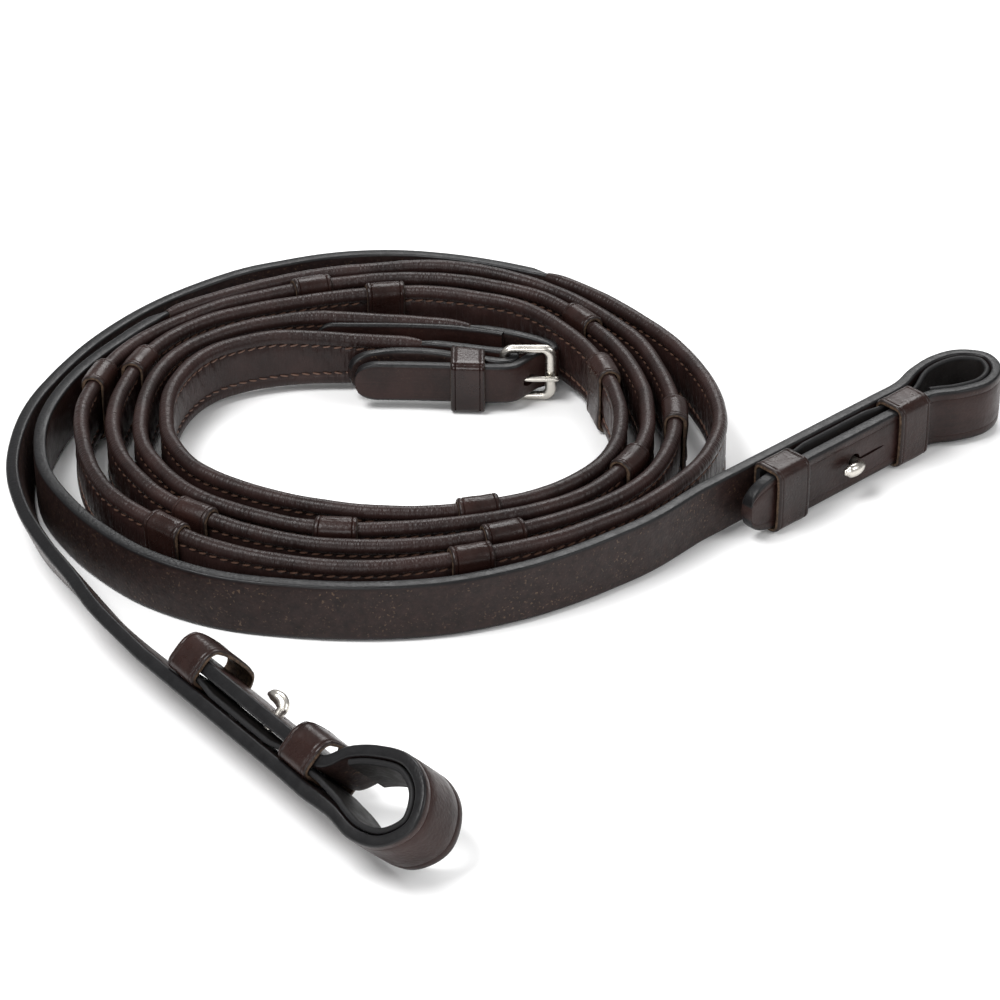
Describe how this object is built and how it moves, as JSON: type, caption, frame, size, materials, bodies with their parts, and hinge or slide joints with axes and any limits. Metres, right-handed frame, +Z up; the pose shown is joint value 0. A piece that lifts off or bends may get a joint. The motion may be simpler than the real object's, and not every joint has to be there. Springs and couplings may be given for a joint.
{
  "type": "bridle reins",
  "caption": "Leather bridle reins coiled on their edges, with soft hand covers, hand stops, bit loops closed by hook studs, and a centre buckle.",
  "frame": {"origin": "on the floor, below the middle of the coil's footprint", "axes": "+Z up from the floor the straps stand on; +Y towards the far side of the coil, past the centre buckle; the right rein's bit end points to +X +Y and the left rein's to +X -Y"},
  "size_m": [0.2938, 0.3074, 0.0296],
  "materials": {
    "strap_leather": "satin, waxed bridle leather",
    "soft_leather": "soft, fine grained, stitched along both edges",
    "trim_leather": "satin, creased edges",
    "lining_leather": "matt",
    "steel": "polished, lightly worn"
  },
  "bodies": {
    "reins": {"right_rein_strap": "strap_leather", "left_rein_strap": "strap_leather", "right_soft_cover": "soft_leather", "left_soft_cover": "soft_leather", "right_hand_stop_1": "trim_leather", "right_hand_stop_2": "trim_leather", "right_hand_stop_3": "trim_leather", "right_hand_stop_4": "trim_leather", "right_hand_stop_5": "trim_leather", "right_hand_stop_6": "trim_leather", "right_hand_stop_7": "trim_leather", "left_hand_stop_1": "trim_leather", "left_hand_stop_2": "trim_leather", "left_hand_stop_3": "trim_leather", "left_hand_stop_4": "trim_leather", "left_hand_stop_5": "trim_leather", "left_hand_stop_6": "trim_leather", "left_hand_stop_7": "trim_leather", "right_bit_loop_lining": "lining_leather", "left_bit_loop_lining": "lining_leather", "right_bit_keeper_by_loop": "trim_leather", "right_bit_keeper_by_tip": "trim_leather", "left_bit_keeper_by_loop": "trim_leather", "left_bit_keeper_by_tip": "trim_leather", "right_hook_stud": "steel", "left_hook_stud": "steel", "centre_keeper": "trim_leather", "left_billet_backing": "strap_leather"},
    "buckle_frame": {"buckle_frame": "steel"},
    "buckle_tongue": {"buckle_tongue": "steel"}
  },
  "joints": [
    {"name": "buckle_frame_hinge", "type": "hinge", "parent": "reins", "child": "buckle_frame", "pos_m": [-0.003, 0.09, 0.0095], "axis": [0, 0, -1], "range_deg": [0, 6]},
    {"name": "buckle_tongue_hinge", "type": "hinge", "parent": "buckle_frame", "child": "buckle_tongue", "pos_m": [-0.003, 0.09, 0.0095], "axis": [0, 0, -1], "range_deg": [0, 6]}
  ]
}
